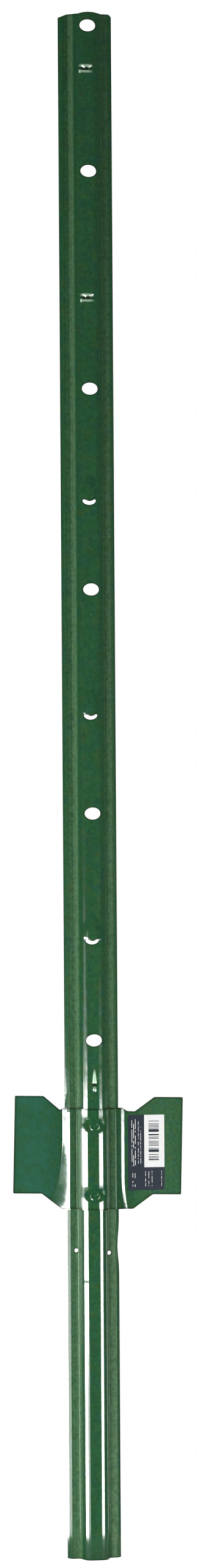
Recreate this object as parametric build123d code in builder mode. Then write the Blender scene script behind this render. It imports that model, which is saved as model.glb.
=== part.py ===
from build123d import *
from math import hypot
import os

# Light steel fence post: a channel with wire tabs and a winged anchor plate.
# Millimetres, +Z up along the post, the web faces -Y, the origin is the middle of the lower end.

os.makedirs("parts", exist_ok=True)

# Channel section, as half widths and as depths behind the front of the web
post_length = 1219.2
steel = 1.5
web_half = 7.4
foot_half = 11.8
channel_depth = 12.0
lip_bend_half = 18.05
lip_run = 3.4
lip_depth = 4.5
bend_radius = 3.0
foot_radius = 2.4
lip_radius = 1.9
lip_half = lip_bend_half + lip_run
section_depth = channel_depth + lip_depth + steel * lip_run / hypot(lip_run, lip_depth)
web_y = -section_depth / 2

# Upper end of the post: a clipped corner, a rounded corner and a crown over the first hole
crown_rise = 0.7
clip_run = 6.4
clip_drop = 3.1
end_radius = 2.4
flange_top = post_length - crown_rise

# Heights of the anchor plate's middle, which the holes and tabs above it start from
body_bottom = 275.6
body_top = 352.6
free_run = post_length - body_top

# Oval holes down the web, as shares of the free run and a drop from the upper end
hole_width = 12.7
hole_height = 9.5
hole_shares = [0.0655, 0.2716, 0.4752, 0.6576, 0.8554]
end_hole_drop = 10.7
hole_heights = [body_top + free_run * share for share in hole_shares]
hole_heights.append(post_length - end_hole_drop)

# Wire tabs: a hood pressed forward out of the web above a smile-shaped mouth
tab_width = 11.0
hood_height = 22.0
hood_straight = 8.0
mouth_height = 2.6
mouth_sag = 2.4
open_bulge = 2.8
open_shares = [0.1551, 0.3593, 0.5544]
open_tabs = [body_top + free_run * share for share in open_shares]
shut_bulge = 1.2
shut_shares = [0.0212, 0.7402]
end_tab_drop = 34.0
shut_tabs = [body_top + free_run * share for share in shut_shares]
shut_tabs.append(post_length - end_hole_drop - end_tab_drop)
groove_depth = 0.9
mouth_reach = (tab_width - mouth_height) / 2

# Small holes at the feet of the channel, below the plate
pin_hole = 3.3
pin_hole_x = 13.0
pin_hole_heights = (243.3, 240.9)

# Anchor plate: a sheet nested over the front of the post, ending in two wings
plate_steel = 1.5
nest_gap = 0.1
plate_skew = -1.4
plate_centre = 4.9
plate_half = 67.0
wing_inner = 44.3
body_half = 28.8
wing_step = 11.6
wing_radius = 4.0
outline_radius = 1.0
collar_rise = 3.0
collar_margin = 0.6
collar_foot = 3.6
flare_left = 11.0
flare_right = 3.0
flare_height = 56.0
wing_seat = section_depth + nest_gap
seat_half = lip_bend_half + lip_run * (wing_seat - channel_depth) / lip_depth
plate_reach = plate_half + abs(plate_centre) + 12.0
wing_start = seat_half + flare_left + wing_radius
seam_half = (foot_half + lip_bend_half) / 2
plate_front_y = web_y - nest_gap - plate_steel
wing_front_y = web_y + section_depth - plate_steel
collar_half = seat_half + collar_margin
plate_margin = 6.0

# Swages that press the plate and the web back together around the rivets
swage_depth = 1.6
swage_half = 4.8
swage_radius = (swage_half**2 + swage_depth**2) / (2 * swage_depth)
swage_y = plate_front_y + swage_depth - swage_radius
swage_reach = foot_half

# Rivets through the plate and the web
rivet_shank = 5.0
rivet_clearance = 0.1
rivet_head = 9.0
head_height = 1.2
head_bevel = 0.5
head_dimple = 4.4
dimple_depth = 0.4
rivet_tail = 7.6
tail_height = 1.0
upper_rivet_z = 342.2
lower_rivet_z = 287.2
rivet_heights = [upper_rivet_z, lower_rivet_z]

# Printed sticker on the right wing
label_inset = 6.8
label_margin = 13.9
label_left = seat_half + label_inset
label_width = plate_centre + plate_half - label_margin - label_left
label_bottom = 289.6
label_height = 59.5
label_skin = 0.15


def section_line(ends, radii):
    """Front line of the channel between two outer ends, bent where the strip is bent."""
    core = [
        (-lip_bend_half, web_y + channel_depth),
        (-foot_half, web_y + channel_depth),
        (-web_half, web_y),
        (web_half, web_y),
        (foot_half, web_y + channel_depth),
        (lip_bend_half, web_y + channel_depth),
    ]
    bends = [lip_radius, foot_radius, bend_radius, bend_radius, foot_radius, lip_radius]
    return FilletPolyline(*ends[0], *core, *ends[1], radius=[*radii, *bends, *radii])


def hood(bulge, inset, rear, lift):
    """Front of a spindle standing proud of the web, open below along the curve of the mouth."""
    radius = (tab_width**2 / 4 + bulge**2) / (2 * bulge)
    axis_y = web_y + radius - bulge
    with BuildPart() as form:
        with BuildSketch(Plane.XZ.offset(-axis_y)):
            with BuildLine():
                side = Polyline(
                    (0, hood_height),
                    (0, -mouth_height),
                    (radius - inset, -mouth_height),
                    (radius - inset, hood_straight),
                )
                crown = TangentArc(side @ 1, (radius - bulge - inset, hood_height), tangent=(0, 1))
                Line(crown @ 1, (0, hood_height))
            make_face()
        revolve(axis=Axis((0, axis_y, 0), (0, 0, 1)))
        with BuildSketch(Plane.XZ.offset(-web_y)):
            with BuildLine():
                brim = ThreePointArc(
                    (-mouth_reach, lift + mouth_sag),
                    (0, lift),
                    (mouth_reach, lift + mouth_sag),
                )
                Polyline(
                    brim @ 1,
                    (3 * radius, lift + 3 * mouth_sag),
                    (3 * radius, -3 * mouth_height),
                    (-3 * radius, -3 * mouth_height),
                    (-3 * radius, lift + 3 * mouth_sag),
                    brim @ 0,
                )
            make_face()
        extrude(amount=3 * radius, both=True, mode=Mode.SUBTRACT)
        split(bisect_by=Plane.XZ.offset(-rear), keep=Keep.TOP)
    return form.part


def swage(radius, thickness, grow):
    """Sheet pressed back to a cylinder across the web, and the space in front of it."""
    with BuildPart() as skin:
        with BuildSketch(Plane.XY.offset(-2 * swage_half)):
            with BuildLine():
                section_line([[(-lip_half, lip_y)], [(lip_half, lip_y)]], [])
                Line((lip_half, lip_y), (-lip_half, lip_y))
            make_face()
            if grow:
                offset(amount=grow)
        extrude(amount=4 * swage_half)
        with BuildSketch(Plane.YZ):
            with Locations(Location((swage_y, 0, 0), (0, 0, 180))):
                Circle(radius + thickness)
                Circle(radius, mode=Mode.SUBTRACT)
        extrude(amount=swage_reach, both=True, mode=Mode.INTERSECT)
    with BuildPart() as space:
        with BuildSketch(Plane.YZ):
            with Locations(Location((swage_y, 0, 0), (0, 0, 180))):
                Circle(radius)
        extrude(amount=swage_reach, both=True)
    return skin.part, space.part


# Swaged sheet of the web and of the plate
lip_y = web_y + channel_depth + lip_depth
web_swage_radius = swage_radius + plate_steel + nest_gap
web_skin, web_space = swage(web_swage_radius, steel, 0)
plate_skin, plate_space = swage(swage_radius, plate_steel, nest_gap + plate_steel)

# Forms that press the tabs
open_skin = hood(open_bulge, 0, web_y + steel / 2, 0)
open_core = hood(open_bulge, steel, web_y + steel + 0.3, 0)
shut_skin = hood(shut_bulge, 0, web_y + steel / 2, 0)
shut_core = hood(shut_bulge, steel, web_y + steel + 0.3, mouth_height)

# Post
with BuildPart() as post:
    with BuildSketch(Plane.XY):
        with BuildLine():
            section_line([[(-lip_half, lip_y)], [(lip_half, lip_y)]], [])
            offset(amount=steel, side=Side.LEFT, closed=True, mode=Mode.ADD)
        make_face()
    extrude(amount=post_length)

    # Upper end
    with BuildSketch(Plane.XZ.offset(-web_y)):
        with BuildLine():
            clip_slope = clip_drop / clip_run
            rest = post_length + 5
            Polyline(
                (foot_half, flange_top),
                (lip_half - end_radius, flange_top),
            )
            RadiusArc((lip_half - end_radius, flange_top), (lip_half, flange_top - end_radius), end_radius)
            Polyline(
                (lip_half, flange_top - end_radius),
                (lip_half + 5, flange_top - end_radius),
                (lip_half + 5, rest),
                (-lip_half - 5, rest),
                (-lip_half - 5, flange_top - clip_drop - 5 * clip_slope),
                (-lip_half + clip_run, flange_top),
                (-foot_half, flange_top),
            )
            ThreePointArc((-foot_half, flange_top), (0, post_length), (foot_half, flange_top))
        make_face()
    extrude(amount=2 * section_depth, both=True, mode=Mode.SUBTRACT)

    # Oval holes
    with BuildSketch(Plane.XZ.offset(-web_y)):
        with Locations([(0, height) for height in hole_heights]):
            Ellipse(hole_width / 2, hole_height / 2)
    extrude(amount=section_depth / 3, both=True, mode=Mode.SUBTRACT)

    # Open wire tabs
    with Locations([(0, 0, height) for height in open_tabs]):
        add(open_skin)
        add(open_core, mode=Mode.SUBTRACT)

    # Wire tabs that are struck but not parted
    with Locations([(0, 0, height) for height in shut_tabs]):
        add(shut_skin)
        add(shut_core, mode=Mode.SUBTRACT)

    # Mouths of the tabs
    with BuildLine(Plane.XY) as smile:
        ThreePointArc((-mouth_reach, mouth_sag), (0, 0), (mouth_reach, mouth_sag))
    with BuildSketch(Plane.XZ.offset(-web_y)):
        with Locations([(0, height) for height in open_tabs]):
            SlotArc(smile.edge(), mouth_height)
    extrude(amount=section_depth / 3, both=True, mode=Mode.SUBTRACT)
    with BuildSketch(Plane.XZ.offset(-web_y - groove_depth)):
        with Locations([(0, height) for height in shut_tabs]):
            SlotArc(smile.edge(), mouth_height)
    extrude(amount=section_depth / 3, mode=Mode.SUBTRACT)

    # Small holes at the feet of the channel
    with BuildSketch(Plane.XZ.offset(-web_y - channel_depth)):
        with Locations((-pin_hole_x, pin_hole_heights[0]), (pin_hole_x, pin_hole_heights[1])):
            Circle(pin_hole / 2)
    extrude(amount=channel_depth / 3, both=True, mode=Mode.SUBTRACT)

    # Swages and rivet holes
    with Locations([(0, 0, height) for height in rivet_heights]):
        add(web_space, mode=Mode.SUBTRACT)
        add(web_skin)
    with BuildSketch(Plane.XZ.offset(-web_y)):
        with Locations([(0, height) for height in rivet_heights]):
            Circle(rivet_shank / 2 + rivet_clearance)
    extrude(amount=section_depth / 3, both=True, mode=Mode.SUBTRACT)

# Anchor plate: sections that follow the channel, with the wings drawn out towards the lower edge
loft_heights = [
    body_bottom - plate_margin,
    body_bottom + flare_height,
    body_top + wing_step + plate_margin,
]
loft_flares = [(flare_left, flare_right), (0, 0), (0, 0)]


def plate_section(left, right):
    """Section of the plate's sheet around the channel, with each wing bend moved out."""
    ends = [
        [(-wing_start, web_y + wing_seat), (-seat_half - left, web_y + wing_seat)],
        [(seat_half + right, web_y + wing_seat), (wing_start, web_y + wing_seat)],
    ]
    with BuildSketch() as section:
        with BuildLine():
            section_line(ends, [wing_radius])
            offset(amount=nest_gap + plate_steel, side=Side.RIGHT, closed=True, mode=Mode.ADD)
        make_face()
        with BuildLine():
            section_line(ends, [wing_radius])
            offset(amount=nest_gap, side=Side.RIGHT, closed=True, mode=Mode.ADD)
        make_face(mode=Mode.SUBTRACT)
    return section.sketch


# Middle of the plate, nested over the web and the feet of the channel
with BuildPart() as nest:
    with BuildSketch(Plane.XY.offset(loft_heights[0])):
        add(plate_section(0, 0))
    extrude(amount=loft_heights[2] - loft_heights[0])
    split(bisect_by=Plane.YZ.offset(seam_half), keep=Keep.BOTTOM)
    split(bisect_by=Plane.YZ.offset(-seam_half), keep=Keep.TOP)

with BuildPart() as anchor_plate:
    for height, (left, right) in zip(loft_heights, loft_flares):
        with BuildSketch(Plane.XY.offset(height)):
            add(plate_section(left, right))
    loft(ruled=True)
    with BuildSketch(Plane.XZ.offset(-web_y)):
        with Locations((0, loft_heights[1])):
            Rectangle(2 * seam_half, 3 * (body_top - body_bottom))
    extrude(amount=2 * section_depth, both=True, mode=Mode.SUBTRACT)
    add(nest.part)

    # Flat wings
    with BuildSketch(Plane.XZ.offset(-wing_front_y)):
        wing_middle = (plate_reach + wing_start) / 2
        with Locations((-wing_middle, loft_heights[1]), (wing_middle, loft_heights[1])):
            Rectangle(plate_reach - wing_start, 3 * (body_top - body_bottom))
    extrude(amount=-plate_steel)

    # Outline of the blank
    with BuildSketch(Plane.XZ.offset(-web_y)):
        with Locations(Location((plate_centre, (body_bottom + body_top) / 2, 0), (0, 0, plate_skew))):
            low = -(body_top - body_bottom) / 2
            high = (body_top - body_bottom) / 2
            Polygon(
                (-plate_half, low + wing_step),
                (-wing_inner, low + wing_step),
                (-body_half, low),
                (body_half, low),
                (wing_inner, low + wing_step),
                (plate_half, low + wing_step),
                (plate_half, high + wing_step),
                (wing_inner, high + wing_step),
                (body_half, high),
                (-body_half, high),
                (-wing_inner, high + wing_step),
                (-plate_half, high + wing_step),
                align=None,
            )
        fillet(vertices(), outline_radius)
        Polygon(
            (-collar_half - collar_foot, body_top),
            (-collar_half - collar_foot, body_top - collar_rise),
            (collar_half + collar_foot, body_top - collar_rise),
            (collar_half + collar_foot, body_top),
            (collar_half, body_top + collar_rise),
            (-collar_half, body_top + collar_rise),
            align=None,
        )
    extrude(amount=2 * section_depth, both=True, mode=Mode.INTERSECT)

    # Swages and rivet holes
    with Locations([(0, 0, height) for height in rivet_heights]):
        add(plate_space, mode=Mode.SUBTRACT)
        add(plate_skin)
    with BuildSketch(Plane.XZ.offset(-web_y)):
        with Locations([(0, height) for height in rivet_heights]):
            Circle(rivet_shank / 2 + rivet_clearance)
    extrude(amount=section_depth / 3, both=True, mode=Mode.SUBTRACT)

# Upper rivet: a head that fills the swage of the plate and a tail that wraps the web
with BuildPart() as upper_rivet:
    head_y = plate_front_y + swage_depth
    tail_y = web_y + steel + swage_depth
    with BuildSketch(Plane.XZ.offset(-head_y)):
        with Locations((0, upper_rivet_z)):
            Circle(rivet_head / 2)
    extrude(amount=head_height)
    chamfer(faces().sort_by(Axis.Y)[0].edges(), head_bevel)
    with BuildSketch(faces().sort_by(Axis.Y)[0]):
        Circle(head_dimple / 2)
    extrude(amount=-dimple_depth, mode=Mode.SUBTRACT)
    with Locations((0, 0, upper_rivet_z)):
        add(plate_space, mode=Mode.INTERSECT)
    with BuildSketch(Plane.XZ.offset(-tail_y)):
        with Locations((0, upper_rivet_z)):
            Circle(rivet_tail / 2)
    extrude(amount=tail_height, both=True)
    with BuildSketch(Plane.YZ):
        with Locations(Location((swage_y, upper_rivet_z, 0), (0, 0, 180))):
            Circle(web_swage_radius + steel)
            Circle(swage_radius, mode=Mode.SUBTRACT)
    extrude(amount=rivet_head, both=True, mode=Mode.SUBTRACT)
    shank_start = head_y - 0.9 * (head_height - dimple_depth)
    shank_end = tail_y + tail_height / 2
    with BuildSketch(Plane.XZ.offset(-shank_start)):
        with Locations((0, upper_rivet_z)):
            Circle(rivet_shank / 2)
    extrude(amount=shank_start - shank_end)

# Lower rivet, the same as the upper one
with BuildPart() as lower_rivet:
    with Locations((0, 0, lower_rivet_z - upper_rivet_z)):
        add(upper_rivet.part)

# Sticker
with BuildPart() as label:
    with BuildSketch(Plane.XZ.offset(-wing_front_y)):
        with Locations((label_left + label_width / 2, label_bottom + label_height / 2)):
            RectangleRounded(label_width, label_height, outline_radius / 2)
    extrude(amount=label_skin)

post.part.label = "post"
anchor_plate.part.label = "anchor_plate"
upper_rivet.part.label = "upper_rivet"
lower_rivet.part.label = "lower_rivet"
label.part.label = "label"

export_step(post.part, "parts/post.step")
export_step(anchor_plate.part, "parts/anchor_plate.step")
export_step(upper_rivet.part, "parts/upper_rivet.step")
export_step(lower_rivet.part, "parts/lower_rivet.step")
export_step(label.part, "parts/label.step")
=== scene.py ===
import math
from functools import partial

import bmesh
import bpy
from mathutils import Matrix, Vector, noise


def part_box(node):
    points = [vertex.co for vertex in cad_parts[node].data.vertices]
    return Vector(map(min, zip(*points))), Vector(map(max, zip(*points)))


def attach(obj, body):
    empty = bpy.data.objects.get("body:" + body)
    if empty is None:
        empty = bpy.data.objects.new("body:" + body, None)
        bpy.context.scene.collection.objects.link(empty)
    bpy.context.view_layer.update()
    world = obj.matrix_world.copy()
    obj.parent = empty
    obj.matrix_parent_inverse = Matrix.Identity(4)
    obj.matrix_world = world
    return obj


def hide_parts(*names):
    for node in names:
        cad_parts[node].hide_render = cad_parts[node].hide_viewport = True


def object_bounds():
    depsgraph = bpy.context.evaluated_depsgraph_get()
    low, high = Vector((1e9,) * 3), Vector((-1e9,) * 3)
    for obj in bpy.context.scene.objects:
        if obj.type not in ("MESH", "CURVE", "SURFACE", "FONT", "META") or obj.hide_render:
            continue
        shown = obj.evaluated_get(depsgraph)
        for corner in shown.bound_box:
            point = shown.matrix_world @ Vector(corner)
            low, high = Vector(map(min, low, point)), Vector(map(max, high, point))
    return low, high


bl_info = {
    "name": "Painted Fence Post",
    "version": (1, 0, 0),
    "blender": (4, 5, 0),
    "location": "View3D > Sidebar > Fence Post",
    "description": "Dresses a steel U-channel fence post with its anchor plate and sticker",
    "category": "Object",
}

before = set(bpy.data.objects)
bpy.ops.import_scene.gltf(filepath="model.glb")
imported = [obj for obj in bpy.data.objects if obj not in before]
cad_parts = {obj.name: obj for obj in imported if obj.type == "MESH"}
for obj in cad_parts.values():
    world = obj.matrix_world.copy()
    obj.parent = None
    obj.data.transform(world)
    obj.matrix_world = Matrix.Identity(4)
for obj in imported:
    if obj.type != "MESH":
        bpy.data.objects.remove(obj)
cad_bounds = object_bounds()

MM = 0.001
BODY = "root"

# Sizes of the post in the CAD source, in millimetres
POST_LENGTH = 1219.2
STEEL = 1.5
FOOT_HALF = 11.8
CHANNEL_DEPTH = 12.0
LIP_BEND_HALF = 18.05
LIP_HALF = 21.45
LIP_DEPTH = 4.5
WEB_Y = -8.702
WING_SEAT = 17.504
PLATE_GAP = 0.1
PLATE_TOP = 352.6
PLATE_BOTTOM = 275.6
FREE_RUN = POST_LENGTH - PLATE_TOP
RIVET_HEIGHTS = (342.2, 287.2)
TIE_HEIGHTS = [PLATE_TOP + FREE_RUN * share for share in (0.0655, 0.2716, 0.4752, 0.6576, 0.8554)]
TIE_HEIGHTS.append(POST_LENGTH - 10.7)
OPEN_TABS = [PLATE_TOP + FREE_RUN * share for share in (0.1551, 0.3593, 0.5544)]
SHUT_TABS = [PLATE_TOP + FREE_RUN * share for share in (0.0212, 0.7402)] + [POST_LENGTH - 44.7]
BACK_Y = cad_bounds[1][1] / MM

# Where the dressed post departs from the solids: a wider web between rounder bends, and tabs that
# stand left of its middle
WEB_HALF = 7.9
TAB_X = -1.1

# Swage round a rivet: its depth, half its height, and how far it climbs at the sides of the web
SWAGE_DEPTH = 1.6
SWAGE_HALF = 5.0
SWAGE_BOW = 2.6

# Drop of the post's upper end, by the distance from its middle
TOP_CUT = (
    (-21.45, 2.9),
    (-18.05, 1.9),
    (-14.5, 0.5),
    (-11.8, 0.4),
    (-7.9, 1.4),
    (-3.6, 0.4),
    (0, 0),
    (4.2, 0.2),
    (7.9, 0.8),
    (11.8, 0),
    (18.6, 0.2),
    (20.4, 0.9),
    (21.45, 2.3),
)

# Sizes of the tabs and tie holes that the channel's node group takes, in metres
CHANNEL_SIZES = {
    "Tab Width": 0.0128,
    "Tab Height": 0.022,
    "Tab Straight": 0.008,
    "Open Bulge": 0.00275,
    "Shut Bulge": 0.0009,
    "Mouth Height": 0.0029,
    "Mouth Sag": 0.0026,
    "Slit Depth": 0.0005,
    "Tie Width": 0.0127,
    "Tie Height": 0.0095,
}

# Pale rules of the sticker: left edge, width, lower end, upper end, pitch of the breaks, seed
RULES = (
    (2.8, 0.45, 19.0, 57.5, 1.5, 11),
    (4.2, 0.45, 19.0, 54.0, 1.9, 23),
    (5.6, 0.45, 19.0, 57.5, 1.3, 37),
    (8.0, 0.35, 21.0, 56.0, 1.0, 29),
    (9.9, 0.35, 21.0, 50.0, 0.9, 31),
    (3.4, 0.45, 2.6, 13.5, 1.4, 5),
    (5.2, 0.45, 2.6, 13.5, 1.7, 17),
    (13.6, 0.35, 3.0, 15.0, 0.9, 41),
    (16.2, 0.35, 3.0, 15.0, 0.9, 43),
    (18.8, 0.35, 3.0, 15.0, 0.9, 47),
    (26.4, 0.35, 3.0, 15.0, 0.9, 53),
)

# Height of the picture in metres at the post: its pixels times the size of a pixel there
PICTURE_HEIGHT = 2576 * 0.479 * MM


# Settings


def length(name, description, default, **limits):
    return bpy.props.FloatProperty(
        name=name,
        description=description,
        default=default * MM,
        subtype="DISTANCE",
        unit="LENGTH",
        precision=4,
        **limits,
    )


def colour(name, description, default):
    return bpy.props.FloatVectorProperty(
        name=name,
        description=description,
        default=default,
        size=3,
        min=0,
        max=1,
        subtype="COLOR",
    )


def angle(name, description, degrees):
    return bpy.props.FloatProperty(
        name=name, description=description, default=math.radians(degrees), subtype="ANGLE"
    )


class FencePostChannel(bpy.types.PropertyGroup):
    web_bend: length("Left web bend", "Front radius of the bend on the left of the web", 5.0)
    far_bend: length("Right web bend", "Front radius of the bend on the right of the web", 6.4)
    foot_bend: length("Foot bend", "Front radius of the hollow bends at the feet", 0.9)
    lip_bend: length("Lip bend", "Front radius of the bends where the lips turn back", 0.9)
    tab_width: length("Tab width", "Width of a pressed wire tab", 12.8)
    tab_height: length("Tab height", "Height of the hood above a tab's mouth", 22.0)
    tab_straight: length("Tab straight", "Height over which the hood keeps its full form", 8.0)
    open_bulge: length("Open bulge", "How far an open tab stands out", 2.75)
    shut_bulge: length("Shut bulge", "How far a shut tab stands out", 0.9)
    mouth_height: length("Mouth height", "Height of a tab's mouth", 2.9)
    mouth_sag: length("Mouth sag", "How far the middle of a mouth hangs below its ends", 2.6)
    slit_depth: length("Slit depth", "Depth of the groove of a shut tab", 0.5)
    tie_width: length("Tie hole width", "Width of an oval tie hole", 12.7)
    tie_height: length("Tie hole height", "Height of an oval tie hole", 9.5)


class FencePostPlate(bpy.types.PropertyGroup):
    flare_left: length("Left flare", "How far the left wing bend runs out at its foot", 13.8)
    flare_right: length("Right flare", "How far the right wing bend runs out at its foot", 4.0)
    head_width: length("Rivet head", "Width of a rivet's head", 9.0)


class FencePostFinish(bpy.types.PropertyGroup):
    paint: colour("Paint", "Green enamel", (0.024, 0.116, 0.041))
    cool: colour("Cool paint", "Bluish patches in the enamel", (0.018, 0.100, 0.062))
    warm: colour("Warm paint", "Olive patches in the enamel", (0.045, 0.110, 0.030))
    # Pale colour of the painted highlights along the hollow bends and of the painted sheen on the
    # flanges and right wing
    dust: colour("Dust", "Pale painted highlight along the hollow bends and painted sheen on the flanges and right wing", (0.27, 0.49, 0.26))
    # Colour of the painted highlights on the lips of the shut tabs
    lip_highlight: colour("Lip highlight", "Painted highlight on the lips of the shut tabs", (0.72, 1.0, 0.74))
    rim: colour("Rim", "Dark enamel along sheared edges", (0.010, 0.022, 0.008))
    sticker: colour("Sticker", "Slate field of the sticker", (0.022, 0.031, 0.048))
    panel: colour("Panel", "Pale panel of the sticker", (0.99, 1.0, 0.99))


class FencePostStudio(bpy.types.PropertyGroup):
    distance: length("Camera distance", "Camera to the front of the web", 4000, min=1)
    azimuth: angle("Camera azimuth", "Angle of the camera to the left of the web", 9.0)
    lean: angle("Lean", "How far the post leans to the left in the picture", 0.38)


# Node helpers


def put(tree, kind, inputs=None, **properties):
    """Adds a node, sets its properties, and fills its inputs with links or values."""
    node = tree.nodes.new(kind)
    for name, value in properties.items():
        setattr(node, name, value)
    for key, value in (inputs or {}).items():
        socket = node.inputs[key]
        if isinstance(value, bpy.types.NodeSocket):
            tree.links.new(value, socket)
        else:
            socket.default_value = value
    return node


def calc(tree, operation, *values):
    """Does one step of arithmetic on links or values."""
    return put(tree, "ShaderNodeMath", dict(enumerate(values)), operation=operation).outputs[0]


def arithmetic(tree):
    """Shorthands for any step of arithmetic, a product, a difference and a maximum in a tree."""
    do = partial(calc, tree)
    return do, partial(do, "MULTIPLY"), partial(do, "SUBTRACT"), partial(do, "MAXIMUM")


def span(tree, value, low, high, to_low=0.0, to_high=1.0):
    """Maps one range of a value to another, and keeps the result within it."""
    inputs = {
        "Value": value,
        "From Min": low,
        "From Max": high,
        "To Min": to_low,
        "To Max": to_high,
    }
    return put(tree, "ShaderNodeMapRange", inputs).outputs["Result"]


def band(tree, value, middle, half, full):
    """Mask that is 1 within a full distance of a middle and 0 beyond a half width."""
    away = calc(tree, "ABSOLUTE", calc(tree, "SUBTRACT", value, middle))
    return span(tree, away, half, full)


def split(tree, vector):
    """Outputs with the parts of a vector."""
    return put(tree, "ShaderNodeSeparateXYZ", {0: vector}).outputs


def blend(tree, factor, first, second, mode="MIX"):
    """Mixes two colours, each a link or a plain value."""
    link_kind = bpy.types.NodeSocket
    first, second = (c if isinstance(c, link_kind) else (*c[:3], 1) for c in (first, second))
    inputs = {0: factor, 6: first, 7: second}
    return put(tree, "ShaderNodeMix", inputs, data_type="RGBA", blend_type=mode).outputs[2]


def new_group(name, kind, inputs, outputs):
    """A node group, whose inputs are given by their socket's type or a default number."""
    tree = bpy.data.node_groups.new(name, kind)
    for label, value in inputs.items():
        typed = isinstance(value, str)
        socket_type = "NodeSocket" + (value if typed else "Float")
        socket = tree.interface.new_socket(label, in_out="INPUT", socket_type=socket_type)
        if not typed:
            socket.default_value = value
    for label, value in outputs.items():
        tree.interface.new_socket(label, in_out="OUTPUT", socket_type="NodeSocket" + value)
    given = tree.nodes.new("NodeGroupInput").outputs
    result = tree.nodes.new("NodeGroupOutput").inputs
    return tree, given, result


def new_material(name):
    material = bpy.data.materials.new(name)
    material.use_nodes = True
    tree = material.node_tree
    return material, tree, tree.nodes["Principled BSDF"]


# Mesh helpers


def link(name, data):
    body = bpy.data.objects.new(name, data)
    bpy.context.scene.collection.objects.link(body)
    return body


def solid(name, points, faces):
    """An object from points in millimetres and the faces between them."""
    mesh = bpy.data.meshes.new(name)
    mesh.from_pydata([Vector(point) * MM for point in points], [], faces)
    return link(name, mesh)


def from_bmesh(name, bm):
    mesh = bpy.data.meshes.new(name)
    bm.to_mesh(mesh)
    bm.free()
    return link(name, mesh)


def finish_piece(source, name, material):
    """Turns an object with modifiers into a plain, smooth-shaded piece."""
    bpy.context.view_layer.update()
    graph = bpy.context.evaluated_depsgraph_get()
    mesh = bpy.data.meshes.new_from_object(source.evaluated_get(graph))
    mesh.name = name
    bpy.data.objects.remove(source)
    mesh.materials.clear()
    mesh.materials.append(material)
    mesh.polygons.foreach_set("use_smooth", [True] * len(mesh.polygons))
    mesh.polygons.foreach_set("material_index", [0] * len(mesh.polygons))
    mesh.set_sharp_from_angle(angle=math.radians(35))
    piece = link(name, mesh)
    if not mesh.polygons:
        raise RuntimeError(f"{name} came out empty")
    return piece


def settle(piece, slot, *nodes):
    """Rides a piece on the part and hides the nodes that it stands for."""
    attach(piece, BODY)
    for node in nodes:
        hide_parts(node)


def fold_line(corners, radii, cells):
    """Points and front normals along a folded line, whose flats have a set number of cells."""
    steps, margin = 6, 0.3
    corners = [Vector(corner) for corner in corners]
    ways = [(b - a).normalized() for a, b in zip(corners, corners[1:])]
    normals = [Vector((way.y, -way.x)) for way in ways]
    stations = []
    start = corners[0]
    for i, way in enumerate(ways):
        last = i == len(ways) - 1
        if last:
            stop = corners[-1]
        else:
            turn = way.angle(ways[i + 1])
            trim = radii[i] * math.tan(turn / 2)
            stop = corners[i + 1] - way * trim
        run = (stop - start).length
        ease = min(margin, run / 4)
        inner = cells[i]
        cuts = [0.0] + [ease + (run - 2 * ease) * k / inner for k in range(inner + 1)]
        if last:
            cuts.append(run)
        stations += [(start + way * cut, normals[i]) for cut in cuts]
        if last:
            break
        side = 1 if ways[i + 1].dot(normals[i]) > 0 else -1
        centre = stop + normals[i] * radii[i] * side
        spin = math.copysign(turn, way.cross(ways[i + 1]))
        for k in range(steps):
            bent = normals[i].copy()
            bent.rotate(Matrix.Rotation(spin * k / steps, 2))
            stations.append((centre - bent * radii[i] * side, bent))
        start = corners[i + 1] + ways[i + 1] * trim
    return stations


def shell(name, front, rear):
    """A closed sheet between two grids of points, given row by row from the lower end."""
    rows, columns = len(front), len(front[0])
    points = [point for grid in (front, rear) for row in grid for point in row]
    back = rows * columns
    faces = []
    for i in range(rows - 1):
        for j in range(columns - 1):
            a = i * columns + j
            quad = (a, a + 1, a + columns + 1, a + columns)
            faces.append(quad)
            faces.append(tuple(back + k for k in reversed(quad)))
        for j, flip in ((0, False), (columns - 1, True)):
            a = i * columns + j
            quad = (a, a + columns, back + a + columns, back + a)
            faces.append(quad[::-1] if flip else quad)
    for j in range(columns - 1):
        low = (j, back + j, back + j + 1, j + 1)
        a = (rows - 1) * columns + j
        faces.append(low)
        faces.append((a, a + 1, back + a + 1, back + a))
    return solid(name, points, faces)


def prism(name, outline, near, far):
    """A solid between two depths whose front view is the outline, counted anticlockwise."""
    count = len(outline)
    points = [(x, y, z) for y in (near, far) for x, z in outline]
    faces = [tuple(range(count)), tuple(range(2 * count - 1, count - 1, -1))]
    faces += [(k, k + count, (k + 1) % count + count, (k + 1) % count) for k in range(count)]
    return solid(name, points, faces)


def cut(body, tool, operation):
    """Adds an exact boolean of a body with a tool."""
    modifier = body.modifiers.new(operation.title(), "BOOLEAN")
    modifier.operation = operation
    modifier.solver = "EXACT"
    modifier.object = tool


def smooth_step(value):
    value = min(max(value, 0.0), 1.0)
    return value * value * (3 - 2 * value)


def bump_at(value, centre, half):
    """A smooth hump of height 1 at a centre, gone at half a width away."""
    return smooth_step(1 - abs(value - centre) / half)


def swage(x, y, z, base_y):
    """Presses a sheet back round each rivet: the depth of a point whose sheet starts at base_y."""
    radius = (SWAGE_HALF**2 + SWAGE_DEPTH**2) / (2 * SWAGE_DEPTH)
    for height in RIVET_HEIGHTS:
        drop = abs(z - height - SWAGE_BOW * min(abs(x) / WEB_HALF, 1.0) ** 2)
        if drop < SWAGE_HALF:
            y = max(y, base_y + SWAGE_DEPTH - radius + math.sqrt(radius**2 - drop**2))
    return y


# Materials


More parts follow.
